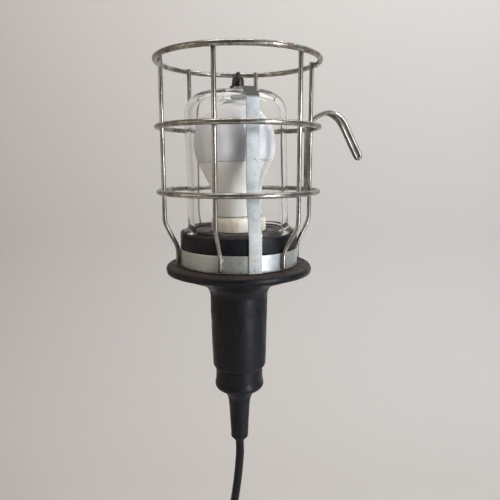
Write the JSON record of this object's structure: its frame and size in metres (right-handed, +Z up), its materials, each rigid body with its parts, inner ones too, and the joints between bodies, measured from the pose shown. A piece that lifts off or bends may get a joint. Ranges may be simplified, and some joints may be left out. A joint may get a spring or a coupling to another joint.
{
  "type": "work light",
  "caption": "Corded hand inspection lamp: LED bulb in a clear glass jar inside a wire cage with a side hook, on a black rubber handle with a wide flange.",
  "frame": {"origin": "hang point: the underside of the top cage ring at its back, where the nail or hook that holds the lamp touches it", "axes": "+Z up along the lamp's own axis with the handle down, -Y the front, +X the side with the hook"},
  "size_m": [0.1616, 0.1204, 0.5648],
  "materials": {
    "weathered_steel": "plated wire gone dull, bright streaks, rust freckles",
    "galvanised_steel": "galvanised sheet, pale blue-grey, fine speckle",
    "dark_steel": "blackened steel with bronze-brown wear",
    "clear_glass": "clear pressed glass",
    "black_rubber": "satin black moulded rubber, light dust",
    "cord_sheath": "smooth black rubber sheath",
    "bakelite": "black phenolic moulding",
    "porcelain": "glazed white ceramic",
    "brass": "plain brass, slightly dulled",
    "bulb_diffuser": "milky translucent dome",
    "white_plastic": "glossy white moulding",
    "ivory_plastic": "ivory moulding, a little browned",
    "circuit_board": "white solder mask",
    "brown_insulation": "brown core insulation",
    "blue_insulation": "blue core insulation",
    "tie_fabric": "woven hook-and-loop tie"
  },
  "bodies": {
    "root": {"cage_ring_top": "weathered_steel", "cage_ring_middle": "weathered_steel", "cage_ring_bottom": "weathered_steel", "cage_wire_1": "weathered_steel", "cage_wire_2": "weathered_steel", "cage_wire_3": "weathered_steel", "cage_wire_4": "weathered_steel", "cage_wire_5": "weathered_steel", "cage_wire_6": "weathered_steel", "hook": "weathered_steel", "cage_band": "galvanised_steel", "strap_front": "galvanised_steel", "strap_rear": "galvanised_steel", "bulb_screw_cap": "galvanised_steel", "clamp_screw": "dark_steel", "housing_screw_1": "dark_steel", "housing_screw_2": "dark_steel", "housing_screw_3": "dark_steel", "cord_clamp_screw_1": "dark_steel", "cord_clamp_screw_2": "dark_steel", "glass_jar": "clear_glass", "jar_gasket": "black_rubber", "rubber_collar": "black_rubber", "handle": "black_rubber", "gland_cap": "black_rubber", "strain_relief": "black_rubber", "cord_inside": "cord_sheath", "cord_lead": "cord_sheath", "cord_coil": "cord_sheath", "cord_tail": "cord_sheath", "plug_body": "cord_sheath", "lampholder_housing": "bakelite", "bulb_cap_insulator": "bakelite", "cord_clamp_front": "bakelite", "cord_clamp_rear": "bakelite", "lampholder_insert": "porcelain", "screw_shell": "brass", "centre_contact": "brass", "side_contact": "brass", "terminal_screw_1": "brass", "terminal_screw_2": "brass", "bulb_tip_contact": "brass", "plug_pin_1": "brass", "plug_pin_2": "brass", "bulb_diffuser": "bulb_diffuser", "bulb_housing": "white_plastic", "bulb_base": "ivory_plastic", "lampholder_ring": "ivory_plastic", "bulb_led_board": "circuit_board", "bulb_driver_board": "circuit_board", "live_core": "brown_insulation", "neutral_core": "blue_insulation", "coil_tie": "tie_fabric"},
    "washer": {"clamp_washer": "dark_steel"},
    "nut": {"wing_nut": "dark_steel"}
  },
  "joints": [
    {"name": "nut_lift", "type": "slide", "parent": "root", "child": "washer", "axis": [0, 0, 1], "range_m": [0, 0.0047]},
    {"name": "wing_nut_turn", "type": "hinge", "parent": "washer", "child": "nut", "pos_m": [0, -0.0583, -0.0148], "axis": [0, 0, 1], "range_deg": [0, 2070]}
  ],
  "couplings": [
    {"joint": "nut_lift", "follows": "wing_nut_turn", "m_per_rad": 0.00012732}
  ]
}
